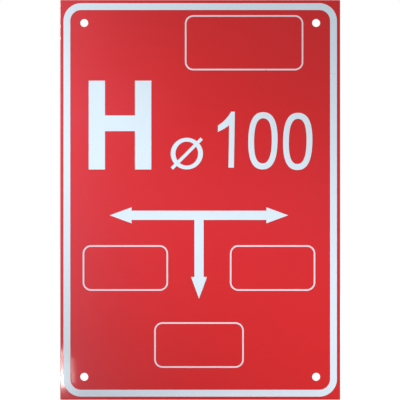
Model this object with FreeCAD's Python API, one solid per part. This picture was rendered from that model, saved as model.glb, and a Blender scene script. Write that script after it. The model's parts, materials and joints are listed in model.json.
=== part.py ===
import FreeCAD, Part
import math
import os

# A small marker plate for a fire hydrant: one flat painted sheet with four fixing holes,
# and white marks of thin film that lie on its front face.
# It stands upright. X runs to the right, Z runs up and the front faces -Y.
# The origin is the centre of the four holes, on the back face. All sizes are in millimetres.

# sheet
plate_width = 140.0
plate_height = 200.0
plate_thickness = 1.5
plate_corner_radius = 0.5
plate_edge_round = 0.3

# fixing holes, their centres measured in from the sheet's edges
hole_diameter = 4.0
hole_inset_x = 12.0
hole_inset_z = 11.5
hole_edge_break = 0.2

# white film, the same for every mark
film_thickness = 0.15

# border band, measured in from the sheet's edges
border_margin = 1.65
border_width = 3.4
border_corner_radius = 8.8

# letter H, its centre measured from the middle of the sheet
letter_x = -40.1
letter_z = 37.4
letter_width = 31.3
letter_height = 44.4
letter_stem = 8.15
letter_bar = 7.85
letter_bar_rise = 0.9

# diameter sign: a ring that is heavier at its sides, with a slash through it
sign_x = -6.7
sign_z = 23.15
sign_ring_width = 16.1
sign_ring_height = 15.8
sign_side_stroke = 2.4
sign_end_stroke = 1.92
sign_slash_length = 21.1
sign_slash_width = 1.63
sign_slash_angle = 45.0

# number of three digits, its middle digit's centre measured from the middle of the sheet
# and the whole turned a little clockwise about it
number_x = 31.35
number_z = 29.55
number_tilt = 1.0
number_pitch = 17.4

# digit zero: a narrow upright bowl
zero_width = 14.65
zero_height = 28.6
zero_side_stroke = 2.9
zero_end_stroke = 3.0

# digit one: a stem with a flag, standing a little higher than the zeros' round feet
one_foot_rise = 0.6
one_gap = 6.95
one_stem = 2.72
one_top_width = 1.85
one_flag_reach = 5.6
one_flag_drop = 7.0
one_flag_end = 3.2
one_notch_drop = 6.8
one_upper_bow = 0.65
one_lower_bow = 0.25

# arrow: a crossbar with a head at both ends and a leg with a head that points down
arrow_x = -0.6
arrow_z = -7.7
arrow_stroke = 4.6
arrow_side_reach = 44.6
arrow_leg_reach = 41.7
arrow_head_length = 10.9
arrow_head_width = 8.0

# empty boxes, their widths and heights measured to the middle of the line
box_line = 0.78
box_corner_radius = 3.8
top_box_width = 58.4
top_box_height = 26.8
top_box_side_gap = 13.8
top_box_upper_gap = 3.0
side_box_width = 41.9
side_box_height = 22.0
side_box_side_gap = 7.2
side_box_below_bar = 26.35
bottom_box_width = 44.0
bottom_box_height = 22.0
bottom_box_lower_gap = 11.4

# how far a quarter curve is pulled into its corner: an ellipse, and a digit's squarer bowl
ellipse_fullness = 0.552
bowl_fullness = 0.68

# inner edges of the border band, measured from the middle of the sheet
border_inner_x = plate_width / 2 - border_margin - border_width
border_inner_z = plate_height / 2 - border_margin - border_width


# a point of the front drawing, which lies in the XZ plane
def point(x, z):
    return FreeCAD.Vector(x, 0, z)


# a closed outline through corners given as points
def polygon(corners):
    return Part.makePolygon(corners + corners[:1])


def rectangle(width, height, x, z):
    left = x - width / 2
    right = x + width / 2
    foot = z - height / 2
    head = z + height / 2
    return polygon([point(left, foot), point(right, foot), point(right, head), point(left, head)])


# four quarter circles, joined by straight sides
def rounded_rectangle(width, height, radius, x, z):
    arcs = []
    for quarter, (side_x, side_z) in enumerate([(1, 1), (-1, 1), (-1, -1), (1, -1)]):
        centre = point(x + side_x * (width / 2 - radius), z + side_z * (height / 2 - radius))
        turns = [math.radians(90 * quarter + step) for step in (0, 45, 90)]
        arcs.append(Part.Arc(*[centre + point(math.cos(turn), math.sin(turn)) * radius for turn in turns]))
    edges = []
    for arc, following in zip(arcs, arcs[1:] + arcs[:1]):
        edges.append(arc.toShape())
        edges.append(Part.LineSegment(arc.EndPoint, following.StartPoint).toShape())
    return Part.Wire(edges)


# four equal quarter curves, each pulled out into its corner by the fullness
def oval(width, height, fullness, x, z):
    ends = [(1, 0), (0, 1), (-1, 0), (0, -1)]
    edges = []
    for (first_x, first_z), (last_x, last_z) in zip(ends, ends[1:] + ends[:1]):
        pulls = [
            (first_x, first_z),
            (first_x + fullness * last_x, first_z + fullness * last_z),
            (last_x + fullness * first_x, last_z + fullness * first_z),
            (last_x, last_z),
        ]
        curve = Part.BezierCurve()
        curve.setPoles([point(x + pull_x * width / 2, z + pull_z * height / 2) for pull_x, pull_z in pulls])
        edges.append(curve.toShape())
    return Part.Wire(edges)


def straight_edge(start, end):
    return Part.LineSegment(start, end).toShape()


# an arc whose middle lies to the right of the straight way from start to end by the bow,
# or to the left by a negative one
def bowed_edge(start, end, bow):
    way = end - start
    aside = point(way.z, -way.x).normalize()
    return Part.Arc(start, (start + end) / 2 + aside * bow, end).toShape()


# a piece of film with this outline, lying on the sheet's front face
def film(outline):
    face = Part.Face(outline)
    face.translate(FreeCAD.Vector(0, -plate_thickness, 0))
    return face.extrude(FreeCAD.Vector(0, -film_thickness, 0))


# the film between two outlines
def film_between(outside, inside):
    return film(outside).cut(film(inside))


# an upright ring whose stroke differs between its sides and its ends
def oval_ring(width, height, side_stroke, end_stroke, fullness, x, z):
    outside = oval(width, height, fullness, x, z)
    inside = oval(width - 2 * side_stroke, height - 2 * end_stroke, fullness, x, z)
    return film_between(outside, inside)


# pieces of film that are cut as one
def joined(pieces):
    return pieces[0].fuse(pieces[1:]).removeSplitter()


# turns a shape clockwise, as the front is seen, about a point of the drawing
def turned(shape, angle, x, z):
    return shape.rotated(point(x, z), FreeCAD.Vector(0, 1, 0), angle)


# the edges that lie wholly in the front or the back face
def face_edges(sheet):
    return [edge for edge in sheet.Edges if edge.BoundBox.YLength < plate_thickness / 2]


# the red sheet, with its outside edges lightly rounded and the rims of its punched holes broken
def make_plate():
    outline = rounded_rectangle(plate_width, plate_height, plate_corner_radius, 0, 0)
    forwards = FreeCAD.Vector(0, -1, 0)
    sheet = Part.Face(outline).extrude(forwards * plate_thickness)
    sheet = sheet.makeFillet(plate_edge_round, face_edges(sheet))
    for side_x in (-1, 1):
        for side_z in (-1, 1):
            x = side_x * (plate_width / 2 - hole_inset_x)
            z = side_z * (plate_height / 2 - hole_inset_z)
            sheet = sheet.cut(Part.makeCylinder(hole_diameter / 2, plate_thickness, point(x, z), forwards))
    rims = [edge for edge in sheet.Edges if edge.isClosed()]
    return sheet.makeChamfer(hole_edge_break, rims)


def make_border_band():
    width = plate_width - 2 * border_margin
    height = plate_height - 2 * border_margin
    inner_radius = border_corner_radius - border_width
    outside = rounded_rectangle(width, height, border_corner_radius, 0, 0)
    inside = rounded_rectangle(2 * border_inner_x, 2 * border_inner_z, inner_radius, 0, 0)
    return film_between(outside, inside)


def make_letter_h():
    stem_shift = (letter_width - letter_stem) / 2
    left_stem = rectangle(letter_stem, letter_height, letter_x - stem_shift, letter_z)
    right_stem = rectangle(letter_stem, letter_height, letter_x + stem_shift, letter_z)
    bar = rectangle(letter_width - letter_stem, letter_bar, letter_x, letter_z + letter_bar_rise)
    return joined([film(left_stem), film(right_stem), film(bar)])


def make_diameter_sign():
    ring = oval_ring(
        sign_ring_width,
        sign_ring_height,
        sign_side_stroke,
        sign_end_stroke,
        ellipse_fullness,
        sign_x,
        sign_z,
    )
    slash = film(rectangle(sign_slash_length, sign_slash_width, sign_x, sign_z))
    return joined([ring, turned(slash, -sign_slash_angle, sign_x, sign_z)])


# a zero whose centre lies this many digit places to the right of the middle digit
def make_zero(places):
    x = number_x + places * number_pitch
    bowl = oval_ring(zero_width, zero_height, zero_side_stroke, zero_end_stroke, bowl_fullness, x, number_z)
    return turned(bowl, number_tilt, number_x, number_z)


# the one, to the left of the middle digit by its gap
def make_one():
    right = number_x - zero_width / 2 - one_gap
    left = right - one_stem
    head = number_z + zero_height / 2
    foot = number_z - zero_height / 2 + one_foot_rise
    top_left = point(right - one_top_width, head)
    flag_top = point(left - one_flag_reach, head - one_flag_drop)
    flag_foot = flag_top - point(0, one_flag_end)
    notch = point(left, head - one_notch_drop)
    corners = [notch, point(left, foot), point(right, foot), point(right, head), top_left]
    edges = [straight_edge(start, end) for start, end in zip(corners, corners[1:])]
    edges.append(bowed_edge(top_left, flag_top, -one_upper_bow))
    edges.append(straight_edge(flag_top, flag_foot))
    edges.append(bowed_edge(flag_foot, notch, one_lower_bow))
    return turned(film(Part.Wire(edges)), number_tilt, number_x, number_z)


# one arm of the arrow, drawn to the right of the middle of the crossbar and then turned
def make_arrow_arm(reach, angle):
    neck = arrow_x + reach - arrow_head_length
    tip = point(arrow_x + reach, arrow_z)
    half_stroke = arrow_stroke / 2
    half_head = arrow_head_width / 2
    outline = polygon([
        point(arrow_x - half_stroke, arrow_z - half_stroke),
        point(neck, arrow_z - half_stroke),
        point(neck, arrow_z - half_head),
        tip,
        point(neck, arrow_z + half_head),
        point(neck, arrow_z + half_stroke),
        point(arrow_x - half_stroke, arrow_z + half_stroke),
    ])
    return turned(film(outline), angle, arrow_x, arrow_z)


def make_arrow():
    right_arm = make_arrow_arm(arrow_side_reach, 0)
    leg = make_arrow_arm(arrow_leg_reach, 90)
    left_arm = make_arrow_arm(arrow_side_reach, 180)
    return joined([right_arm, leg, left_arm])


# an empty box drawn with a thin line, its size measured to the middle of the line
def make_box(width, height, x, z):
    outside = rounded_rectangle(width + box_line, height + box_line, box_corner_radius + box_line / 2, x, z)
    inside = rounded_rectangle(width - box_line, height - box_line, box_corner_radius - box_line / 2, x, z)
    return film_between(outside, inside)


top_box_x = border_inner_x - top_box_side_gap - top_box_width / 2
top_box_z = border_inner_z - top_box_upper_gap - top_box_height / 2
side_box_shift = border_inner_x - side_box_side_gap - side_box_width / 2
side_box_z = arrow_z - side_box_below_bar
bottom_box_z = -border_inner_z + bottom_box_lower_gap + bottom_box_height / 2

nodes = {
    "plate": make_plate(),
    "border_band": make_border_band(),
    "letter_h": make_letter_h(),
    "diameter_sign": make_diameter_sign(),
    "digit_one": make_one(),
    "digit_zero_middle": make_zero(0),
    "digit_zero_right": make_zero(1),
    "direction_arrow": make_arrow(),
    "number_box_top": make_box(top_box_width, top_box_height, top_box_x, top_box_z),
    "number_box_left": make_box(side_box_width, side_box_height, arrow_x - side_box_shift, side_box_z),
    "number_box_right": make_box(side_box_width, side_box_height, arrow_x + side_box_shift, side_box_z),
    "number_box_bottom": make_box(bottom_box_width, bottom_box_height, arrow_x, bottom_box_z),
}

os.makedirs("parts", exist_ok=True)
for name, shape in nodes.items():
    shape.exportStep("parts/" + name + ".step")
    print(name, "solids", len(shape.Solids), "volume", round(shape.Volume, 2), "valid", shape.isValid())
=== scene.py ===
# Looks, light and camera for a red marker plate with white film marks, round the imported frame.
import json
import math

import bpy
import numpy as np
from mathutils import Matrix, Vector


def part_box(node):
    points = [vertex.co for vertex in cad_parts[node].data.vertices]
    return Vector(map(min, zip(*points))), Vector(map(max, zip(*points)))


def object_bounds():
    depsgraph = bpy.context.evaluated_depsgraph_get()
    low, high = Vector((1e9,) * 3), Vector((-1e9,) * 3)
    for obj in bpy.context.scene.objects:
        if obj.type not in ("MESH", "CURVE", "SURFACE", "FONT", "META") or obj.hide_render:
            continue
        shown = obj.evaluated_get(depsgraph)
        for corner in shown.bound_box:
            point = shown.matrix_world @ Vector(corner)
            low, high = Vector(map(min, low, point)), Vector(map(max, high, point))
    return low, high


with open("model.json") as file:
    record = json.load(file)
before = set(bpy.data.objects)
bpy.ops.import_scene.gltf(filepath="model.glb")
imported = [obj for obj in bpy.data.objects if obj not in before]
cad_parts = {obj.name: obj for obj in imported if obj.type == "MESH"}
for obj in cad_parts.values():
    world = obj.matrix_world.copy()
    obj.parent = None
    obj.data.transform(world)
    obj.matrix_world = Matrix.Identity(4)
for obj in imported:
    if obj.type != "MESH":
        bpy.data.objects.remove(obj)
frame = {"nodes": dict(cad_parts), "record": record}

cadLow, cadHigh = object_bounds()
plateLow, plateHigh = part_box("plate")
metre = 1000.0                                   # in millimetres, which the record's mounts are in
plainWhite = (1.0, 1.0, 1.0, 1.0)
print("frame loaded,", len(frame["nodes"]), "nodes")


def addNode(tree, kind, inputs=None, **settings):
    # one node; each input is a number, a colour or another node's output
    node = tree.nodes.new(kind)
    for name, value in settings.items():
        setattr(node, name, value)
    for name, value in (inputs or {}).items():
        if isinstance(value, bpy.types.NodeSocket):
            tree.links.new(value, node.inputs[name])
        else:
            node.inputs[name].default_value = value
    return node


def calc(tree, operation, first, second=0.0, third=0.0):
    # a Math node's result
    node = addNode(tree, "ShaderNodeMath", {0: first, 1: second, 2: third}, operation=operation)
    return node.outputs[0]


def ramp(tree, value, low, high, lowResult=0.0, highResult=1.0):
    # goes smoothly from lowResult to highResult while value goes from low to high
    node = addNode(tree, "ShaderNodeMapRange", {
        "Value": value, "From Min": low, "From Max": high, "To Min": lowResult, "To Max": highResult,
    }, interpolation_type="SMOOTHSTEP")
    return node.outputs["Result"]


def hump(tree, value, foot, middle, head):
    # 1 at the middle, going smoothly to 0 at the foot below it and at the head above it
    rise = ramp(tree, value, foot, middle)
    fall = ramp(tree, value, middle, head, 1.0, 0.0)
    return calc(tree, "MULTIPLY", rise, fall)


def fromPoint(tree, axes, centre):
    # how far a place is from a centre given in X and Z: the root of the two squares added up
    aside = calc(tree, "SUBTRACT", axes["X"], centre[0])
    above = calc(tree, "SUBTRACT", axes["Z"], centre[1])
    squares = calc(tree, "MULTIPLY_ADD", aside, aside, calc(tree, "MULTIPLY", above, above))
    return calc(tree, "SQRT", squares)


def scaled(tree, vector, amount):
    # a vector or a colour times an amount, which may vary over the surface
    return addNode(tree, "ShaderNodeVectorMath", {0: vector, 3: amount}, operation="SCALE").outputs[0]


def newGroup(name, numbers, results):
    # an empty shader group with a Place input, its named numbers and its named results
    tree = bpy.data.node_groups.new(name, "ShaderNodeTree")
    tree.interface.new_socket(name="Place", in_out="INPUT", socket_type="NodeSocketVector")
    for label, value in numbers.items():
        socket = tree.interface.new_socket(name=label, in_out="INPUT", socket_type="NodeSocketFloat")
        socket.default_value = value
    for label in results:
        tree.interface.new_socket(name=label, in_out="OUTPUT", socket_type="NodeSocketFloat")
    start = addNode(tree, "NodeGroupInput")
    end = addNode(tree, "NodeGroupOutput")
    return tree, start.outputs, end.inputs


# the noises in the two shared effects; a higher detail adds finer lumps
noises = {
    "cloudDetail": 3.0,
    "grainDetail": 1.0,
    "rippleDetail": 1.0,
    "fineDetail": 2.0,
    "rubDetail": 5.0,
    "rubStretch": (0.25, 1.0, 3.0),              # wiping runs across the plate, so it is drawn out along X
    "rubRange": (0.42, 0.72),                    # the noise where wiping starts and where it is full
}


def cloud(tree, place, size, detail, stretch=None):
    # noise from 0 to 1 with lumps about size metres across, drawn out along the axes where stretch is small
    where = scaled(tree, place, calc(tree, "DIVIDE", 1.0, size))
    if stretch:
        where = addNode(tree, "ShaderNodeMapping", {"Vector": where, "Scale": stretch}).outputs[0]
    lumps = addNode(tree, "ShaderNodeTexNoise", {"Vector": where, "Scale": 1.0, "Detail": detail})
    return lumps.outputs["Fac"]


def makeToneGroup():
    # Tone is 1 plus slow clouds and fine grain, each between minus and plus its depth
    numbers = {"Cloud Size": 0.03, "Cloud Depth": 0.03, "Grain Size": 0.0006, "Grain Depth": 0.02}
    tree, given, result = newGroup("surfaceTone", numbers, ["Tone"])
    tone = 1.0
    for name, detail in (("Cloud", noises["cloudDetail"]), ("Grain", noises["grainDetail"])):
        fac = cloud(tree, given["Place"], given[name + " Size"], detail)
        centred = calc(tree, "MULTIPLY_ADD", fac, 2.0, -1.0)
        tone = calc(tree, "MULTIPLY_ADD", centred, given[name + " Depth"], tone)
    tree.links.new(tone, result["Tone"])
    return tree


def makeSkinGroup():
    # Height, in units of the Bump's distance, is a soft ripple plus a finer one; Rub is a mask of wiping
    numbers = {"Ripple Size": 0.002, "Fine Size": 0.0005, "Fine Share": 0.3, "Rub Size": 0.02}
    tree, given, result = newGroup("surfaceSkin", numbers, ["Height", "Rub"])
    ripple = cloud(tree, given["Place"], given["Ripple Size"], noises["rippleDetail"])
    fine = cloud(tree, given["Place"], given["Fine Size"], noises["fineDetail"])
    tree.links.new(calc(tree, "MULTIPLY_ADD", fine, given["Fine Share"], ripple), result["Height"])
    rub = cloud(tree, given["Place"], given["Rub Size"], noises["rubDetail"], noises["rubStretch"])
    tree.links.new(ramp(tree, rub, *noises["rubRange"]), result["Rub"])
    return tree


toneGroup = makeToneGroup()
skinGroup = makeSkinGroup()


def newMaterial(name, looks):
    # a material with its object coordinates, tone and skin ready to be used
    material = bpy.data.materials.new(name)
    material.use_nodes = True
    tree = material.node_tree
    tree.nodes.clear()
    place = addNode(tree, "ShaderNodeTexCoord").outputs["Object"]
    axes = addNode(tree, "ShaderNodeSeparateXYZ", {0: place}).outputs
    tone = addNode(tree, "ShaderNodeGroup", node_tree=toneGroup)
    skin = addNode(tree, "ShaderNodeGroup", node_tree=skinGroup)
    for node in (tone, skin):
        tree.links.new(place, node.inputs["Place"])
        for label, value in looks[node.node_tree.name].items():
            node.inputs[label].default_value = value
    return material, tree, axes, tone.outputs["Tone"], skin.outputs


def finishMaterial(tree, looks, shade, rough, height):
    # the shader of a painted or plastic surface, with its colour shaded and its face faintly uneven
    bump = addNode(tree, "ShaderNodeBump", {
        "Strength": 1.0, "Distance": looks["bumpHeight"], "Height": height})
    shader = addNode(tree, "ShaderNodeBsdfPrincipled", {
        "Base Color": scaled(tree, looks["colour"], shade),
        "Roughness": rough,
        "IOR": looks["ior"],
        "Normal": bump.outputs[0],
    })
    addNode(tree, "ShaderNodeOutputMaterial", {"Surface": shader.outputs[0]})


# the sheet's red paint, in linear colours and metres
paint = {
    "colour": (0.668, 0.0087, 0.0123),
    "rimWidth": 0.0005,                          # darker paint round the holes' rims
    "rimDepth": 0.10,
    "edgeWidth": 0.0008,                         # and near the sheet's own edges
    "edgeDepth": 0.10,
    "frontRoughness": 0.11,
    "rubRoughness": 0.03,                        # added where the front is rubbed most
    "backRoughness": 0.34,
    "backFrom": (-0.0009, -0.0004),              # in Y, where the front's gloss goes over to the back's
    "ior": 1.45,
    "bumpHeight": 0.000002,
    "surfaceTone": {"Cloud Size": 0.032, "Cloud Depth": 0.035, "Grain Size": 0.0007, "Grain Depth": 0.025},
    "surfaceSkin": {"Ripple Size": 0.0021, "Fine Size": 0.0006, "Fine Share": 0.25, "Rub Size": 0.03},
}


def makePaint():
    material, tree, axes, tone, skin = newMaterial("redPaint", paint)
    # the sheet is the same in all four quarters, so places are measured outwards from its middle
    outwards = {axis: calc(tree, "ABSOLUTE", axes[axis]) for axis in ("X", "Z")}
    holes = next(mount["dims"] for mount in frame["record"]["mounts"] if mount["name"] == "fixing_holes")
    holeCentre = (holes["spacing_x_mm"] / 2 / metre, holes["spacing_y_mm"] / 2 / metre)
    holeRadius = holes["hole_r_mm"] / metre
    fromHole = fromPoint(tree, outwards, holeCentre)
    fromSide = calc(tree, "SUBTRACT", plateHigh.x, outwards["X"])
    fromEnd = calc(tree, "SUBTRACT", plateHigh.z, outwards["Z"])
    fromEdge = calc(tree, "MINIMUM", fromSide, fromEnd)
    rim = ramp(tree, fromHole, holeRadius, holeRadius + paint["rimWidth"], 1.0 - paint["rimDepth"], 1.0)
    edge = ramp(tree, fromEdge, 0.0, paint["edgeWidth"], 1.0 - paint["edgeDepth"], 1.0)
    shade = calc(tree, "MULTIPLY", calc(tree, "MULTIPLY", rim, edge), tone)
    # roughness grows where the paint is rubbed, and again on the back
    behind = ramp(tree, axes["Y"], *paint["backFrom"])
    rough = calc(tree, "MULTIPLY_ADD", skin["Rub"], paint["rubRoughness"], paint["frontRoughness"])
    rough = calc(tree, "MULTIPLY_ADD", behind, paint["backRoughness"] - paint["frontRoughness"], rough)
    finishMaterial(tree, paint, shade, rough, skin["Height"])
    return material


# the marks' white film, in linear colours and metres
film = {
    "colour": (0.715, 0.86, 0.955),
    "thinColour": (0.86, 0.72, 0.79),            # of frames so thin that a little red shows through
    "thinNodes": "number_box",                   # how those nodes' names start
    "sideTone": 0.86,                            # the cut sides are a little darker
    "sideDepth": 0.00004,
    "roughness": 0.34,
    "rubRoughness": 0.08,
    "ior": 1.45,
    "bumpHeight": 0.000004,
    "joinPlace": (0.060, 0.0631),                # the band's join: right of this X, at this Z
    "joinHalfWidth": 0.00024,
    "joinDepth": 0.18,
    "speckPlace": (0.0329, 0.0650),              # a speck of dirt on the top box, in X and Z
    "speckRadius": 0.0006,
    "speckDepth": 0.55,
    "surfaceTone": {"Cloud Size": 0.024, "Cloud Depth": 0.022, "Grain Size": 0.0009, "Grain Depth": 0.018},
    "surfaceSkin": {"Ripple Size": 0.0016, "Fine Size": 0.0004, "Fine Share": 0.5, "Rub Size": 0.02},
}


def makeFilm(name, colour):
    looks = dict(film, colour=colour)
    material, tree, axes, tone, skin = newMaterial(name, looks)
    # the face of the film is in the foremost plane, and its cut sides lie behind it
    side = ramp(tree, axes["Y"], cadLow.y, cadLow.y + film["sideDepth"], 1.0, film["sideTone"])
    # a hairline where the band's ends meet, and a round speck that fades to its radius
    joinX, joinZ = film["joinPlace"]
    fromJoin = calc(tree, "ABSOLUTE", calc(tree, "SUBTRACT", axes["Z"], joinZ))
    line = ramp(tree, fromJoin, 0.0, film["joinHalfWidth"], film["joinDepth"], 0.0)
    line = calc(tree, "MULTIPLY", line, calc(tree, "GREATER_THAN", axes["X"], joinX))
    fromSpeck = fromPoint(tree, axes, film["speckPlace"])
    speck = ramp(tree, fromSpeck, 0.0, film["speckRadius"], film["speckDepth"], 0.0)
    clean = calc(tree, "SUBTRACT", 1.0, calc(tree, "MAXIMUM", line, speck))
    shade = calc(tree, "MULTIPLY", calc(tree, "MULTIPLY", side, tone), clean)
    rough = calc(tree, "MULTIPLY_ADD", skin["Rub"], film["rubRoughness"], film["roughness"])
    finishMaterial(tree, looks, shade, rough, skin["Height"])
    return material


finishes = {"red_paint": makePaint(), "white_film": makeFilm("whiteFilm", film["colour"])}
thinFilm = makeFilm("thinWhiteFilm", film["thinColour"])
for part in frame["record"]["subparts"]:
    isThin = part["node"].startswith(film["thinNodes"])
    slots = frame["nodes"][part["node"]].data.materials
    slots.clear()
    slots.append(thinFilm if isThin else finishes[part["material_slot"]])


# the camera, square to the plate as in the photograph, in metres
lens = {
    "distance": 1.0,                             # from the plate's front
    "aside": -0.0001,                            # from the plate's middle, as the photograph is framed
    "above": -0.00005,
    "widthSeen": 0.2,                            # across the frame at the plate's front
    "sensor": 36.0,                              # in millimetres
    "tilt": 90.0,                                # in degrees up from straight down: level, along Y
    "clip": (0.01, 50.0),
}


def makeCamera():
    data = bpy.data.cameras.new("frontCamera")
    data.sensor_width = lens["sensor"]
    data.lens = lens["sensor"] * lens["distance"] / lens["widthSeen"]
    data.clip_start, data.clip_end = lens["clip"]
    camera = bpy.data.objects.new("frontCamera", data)
    camera.location = (lens["aside"], plateLow.y - lens["distance"], lens["above"])
    camera.rotation_euler = (math.radians(lens["tilt"]), 0, 0)
    bpy.context.scene.collection.objects.link(camera)
    bpy.context.scene.camera = camera


makeCamera()
bpy.context.scene.view_settings.view_transform = "Standard"
print("camera in place")


def makeStage(name, centre, reach, across, up):
    # a square sheet of the studio with an empty material: its corners are the centre plus or minus reach
    # times the directions across and up
    turns = np.array([(-1, -1), (1, -1), (1, 1), (-1, 1)])
    corners = np.array(centre) + reach * (turns @ np.array([across, up]))
    mesh = bpy.data.meshes.new(name)
    mesh.from_pydata(corners.tolist(), [], [(0, 1, 2, 3)])
    sheet = bpy.data.objects.new(name, mesh)
    bpy.context.scene.collection.objects.link(sheet)
    material = bpy.data.materials.new(name + "Finish")
    material.use_nodes = True
    material.node_tree.nodes.clear()
    mesh.materials.append(material)
    return sheet, material.node_tree


def seenRays(tree):
    # 1 for rays from the camera, from gloss and through glass, else 0
    path = addNode(tree, "ShaderNodeLightPath").outputs
    seen = calc(tree, "MAXIMUM", path["Is Camera Ray"], path["Is Glossy Ray"])
    return calc(tree, "MAXIMUM", seen, path["Is Transmission Ray"])


# the floor and the surround, in metres
surround = {
    "ambient": 0.68,                             # how strongly the surround lights the plate
    "seen": 1.0,                                 # how bright it looks itself, where 1 is white
    "floorColour": (0.78, 0.78, 0.78, 1.0),
    "floorReach": 3.0,                           # from the plate to each edge of the floor
    "floorWhite": 0.50,                          # share of the floor that glows when it is seen
    "floorGlow": 1.54,                           # brings the lit floor and its glowing share to white
}


def makeFloor():
    floor, tree = makeStage("floor", (0, 0, cadLow.z), surround["floorReach"], (1, 0, 0), (0, 1, 0))
    matt = addNode(tree, "ShaderNodeBsdfDiffuse", {"Color": surround["floorColour"]})
    white = addNode(tree, "ShaderNodeEmission", {"Color": plainWhite, "Strength": surround["floorGlow"]})
    share = calc(tree, "MULTIPLY", seenRays(tree), surround["floorWhite"])
    blend = addNode(tree, "ShaderNodeMixShader", {0: share, 1: matt.outputs[0], 2: white.outputs[0]})
    addNode(tree, "ShaderNodeOutputMaterial", {"Surface": blend.outputs[0]})
    floor.visible_glossy = False                 # gloss sees the same white in the surround beyond it


def makeWorld():
    world = bpy.data.worlds.new("paleSurround")
    world.use_nodes = True
    tree = world.node_tree
    tree.nodes.clear()
    soft = addNode(tree, "ShaderNodeBackground", {"Color": plainWhite, "Strength": surround["ambient"]})
    white = addNode(tree, "ShaderNodeBackground", {"Color": plainWhite, "Strength": surround["seen"]})
    blend = addNode(tree, "ShaderNodeMixShader", {0: seenRays(tree), 1: soft.outputs[0], 2: white.outputs[0]})
    addNode(tree, "ShaderNodeOutputWorld", {"Surface": blend.outputs[0]})
    bpy.context.scene.world = world


# a soft card behind the camera, seen only in gloss; its hazes are placed in metres on the plate, where the
# camera sees them mirrored: across is where a haze starts and is full, up is its foot, middle and head
card = {
    "distance": 1.6,                             # in front of the plate's back
    "reach": 0.9,                                # from its middle to each edge
    "tone": (0.61, 0.61, 0.62),
    "hazes": {
        "leftHalf": {"tone": (0.37, 0.37, 0.47), "across": (0.014, -0.070)},
        "leftEdge": {"tone": (0.93, 0.93, 1.30), "across": (-0.044, -0.082)},
        "middle": {"tone": (0.17, 0.17, 0.36), "up": (-0.075, 0.0, 0.040)},
        "level": {"tone": (0.60, 0.60, 1.16), "across": (-0.003, -0.048), "up": (0.027, 0.045, 0.063)},
    },
}


def makeCard():
    away = card["distance"]
    sheet, tree = makeStage("glossCard", (0, -away, 0), card["reach"], (1, 0, 0), (0, 0, 1))
    # a place on the plate is the place on the card that it mirrors, divided by 1 plus the card's distance
    # over the camera's
    place = addNode(tree, "ShaderNodeTexCoord").outputs["Object"]
    mirrored = scaled(tree, place, 1.0 / (1.0 + away / lens["distance"]))
    axes = addNode(tree, "ShaderNodeSeparateXYZ", {0: mirrored}).outputs
    total = card["tone"]
    for haze in card["hazes"].values():
        amount = 1.0
        if "across" in haze:
            start, full = haze["across"]
            amount = ramp(tree, axes["X"], full, start, 1.0, 0.0)
        if "up" in haze:
            amount = calc(tree, "MULTIPLY", hump(tree, axes["Z"], *haze["up"]), amount)
        layer = scaled(tree, haze["tone"], amount)
        total = addNode(tree, "ShaderNodeVectorMath", {0: total, 1: layer}, operation="ADD").outputs[0]
    glow = addNode(tree, "ShaderNodeEmission", {"Color": total, "Strength": 1.0})
    addNode(tree, "ShaderNodeOutputMaterial", {"Surface": glow.outputs[0]})
    # it is no lamp: nothing but gloss sees it, and it casts no light or shadow
    sheet.data.materials[0].cycles.emission_sampling = "NONE"
    sheet.visible_camera = sheet.visible_diffuse = sheet.visible_shadow = sheet.visible_transmission = False


# each lamp: place and aim in metres, size across and up in metres, roll and spread in degrees, power in
# watts; the glint boxes show only in gloss, as the small highlight at the lower left corner
lamps = {
    "keyBox": {"place": (-0.62, -0.542, 0.10), "aim": (0.026, 0.0, -0.027),
               "size": (0.56, 0.06), "roll": -38.75, "spread": 16.7, "power": 0.151},
    "backBox": {"place": (0.35, 0.9, 0.5), "aim": (0.0, 0.0, 0.0),
                "size": (0.6, 0.6), "roll": 0.0, "spread": 180.0, "power": 4.0},
    "glintBox": {"place": (-0.0745, -0.0615, -0.0943), "aim": (-0.0735, 0.0, -0.0940), "glossOnly": True,
                 "size": (0.0046, 0.0080), "roll": 0.0, "spread": 34.0, "power": 0.00042},
    "glintTail": {"place": (-0.0750, -0.0615, -0.0850), "aim": (-0.0740, 0.0, -0.0850), "glossOnly": True,
                  "size": (0.0034, 0.0110), "roll": 0.0, "spread": 34.0, "power": 0.00018},
    "glintInner": {"place": (-0.0660, -0.0350, -0.0883), "aim": (-0.0638, 0.0, -0.0853), "glossOnly": True,
                   "size": (0.0007, 0.0125), "roll": 5.0, "spread": 34.0, "power": 0.000014},
}


def makeLamps():
    for name, lamp in lamps.items():
        data = bpy.data.lights.new(name, "AREA")
        data.shape = "RECTANGLE"
        data.size, data.size_y = lamp["size"]
        data.energy = lamp["power"]
        data.spread = math.radians(lamp["spread"])
        box = bpy.data.objects.new(name, data)
        box.location = lamp["place"]
        aim = Vector(lamp["aim"]) - Vector(lamp["place"])
        box.rotation_euler = aim.to_track_quat("-Z", "Y").to_euler()
        box.rotation_euler.rotate_axis("Z", math.radians(lamp["roll"]))
        box.visible_camera = False
        box.visible_diffuse = not lamp.get("glossOnly", False)
        bpy.context.scene.collection.objects.link(box)


makeFloor()
makeWorld()
makeCard()
makeLamps()
print("floor, surround, card and", len(lamps), "lamps in place")
